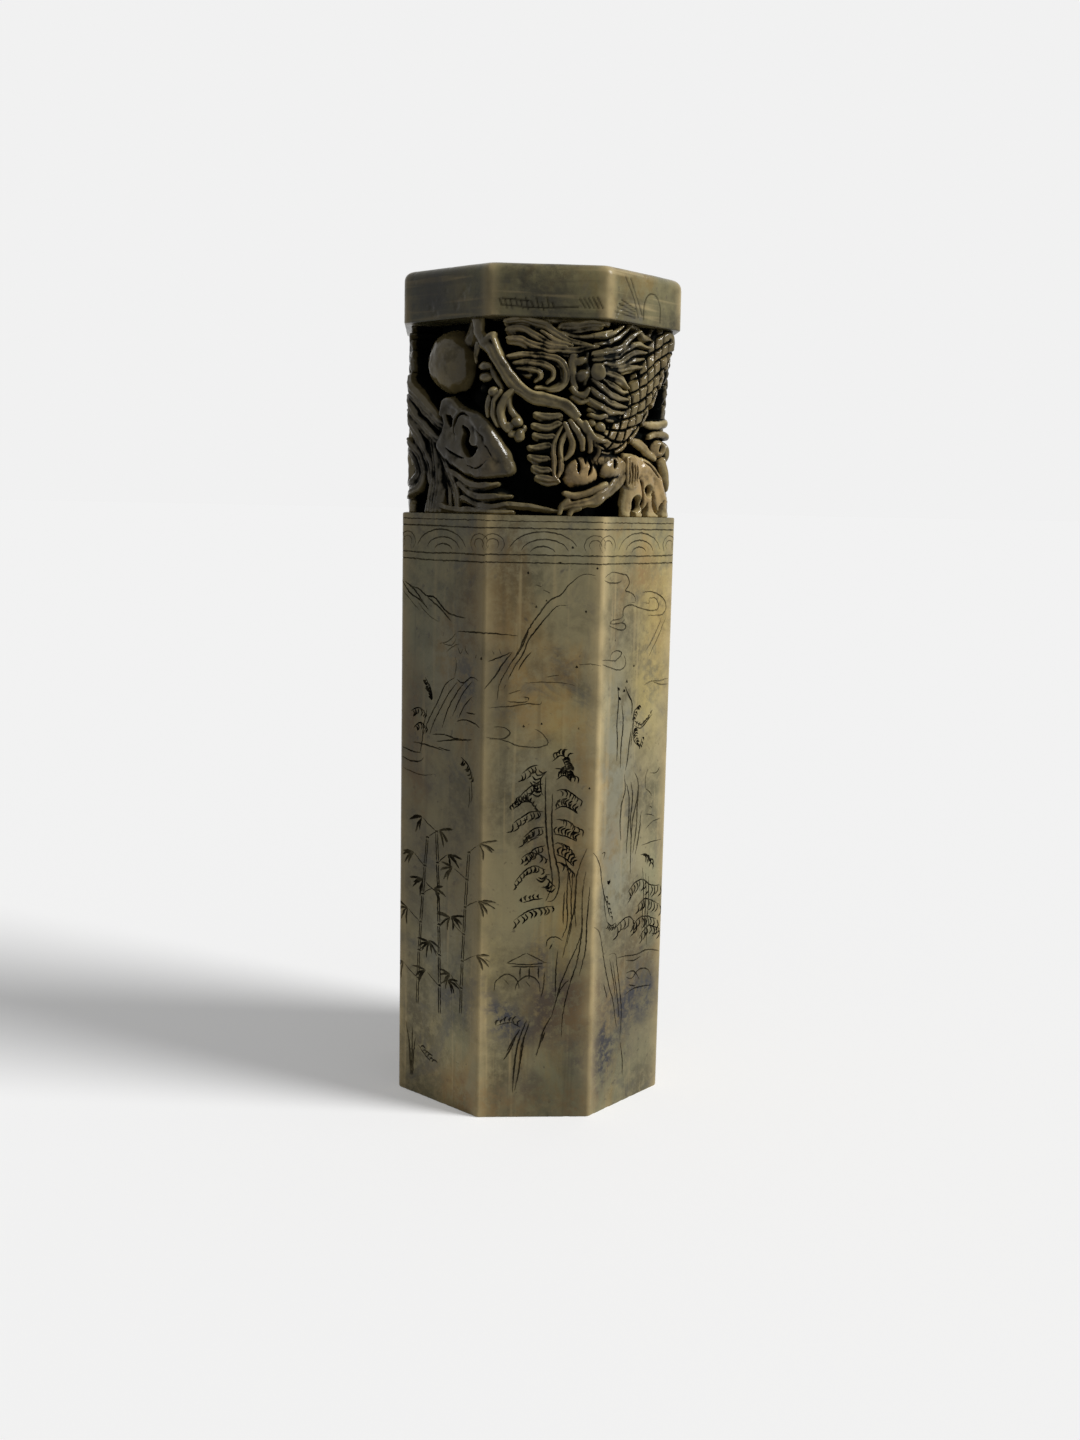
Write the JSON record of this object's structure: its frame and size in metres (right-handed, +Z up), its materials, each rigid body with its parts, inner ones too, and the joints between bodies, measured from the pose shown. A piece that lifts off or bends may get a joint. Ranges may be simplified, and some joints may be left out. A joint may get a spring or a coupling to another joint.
{
  "type": "seal stamp",
  "caption": "Tall octagonal stone seal stamp with engraved faces, a deep carved dragon-and-pearl band and a plain cap.",
  "frame": {"origin": "middle of the printing face at the block's foot", "axes": "+Z up along the block, -Y out of the front face of the octagon"},
  "size_m": [0.05, 0.05, 0.1525],
  "materials": {
    "polished_stone": "polished soapstone, mottled olive and ochre",
    "carved_stone": "carved soapstone, glossy crests and grimy hollows",
    "carved_ground": "dark ground behind the carving"
  },
  "bodies": {
    "root": {"column": "polished_stone", "cap_slab": "polished_stone", "band_core": "carved_ground", "pearl": "carved_stone", "horn": "carved_stone", "front_claws": "carved_stone", "dragon_head": "carved_stone", "mane": "carved_stone", "haunch": "carved_stone", "front_foot": "carved_stone", "belly_plates": "carved_stone", "dragon_neck": "carved_stone", "dragon_back": "carved_stone", "dragon_loin": "carved_stone", "dragon_tail": "carved_stone", "tail_fin": "carved_stone", "right_hind_leg": "carved_stone", "left_hind_leg": "carved_stone", "top_cloud": "carved_stone", "scroll_cloud": "carved_stone", "leaf_cloud": "carved_stone", "sweeping_wave": "carved_stone", "pierced_rock": "carved_stone", "left_rock": "carved_stone", "side_cloud": "carved_stone", "low_cloud": "carved_stone", "back_cloud": "carved_stone", "tail_cloud": "carved_stone", "left_cloud": "carved_stone", "side_waves": "carved_stone", "back_waves": "carved_stone"}
  },
  "joints": []
}
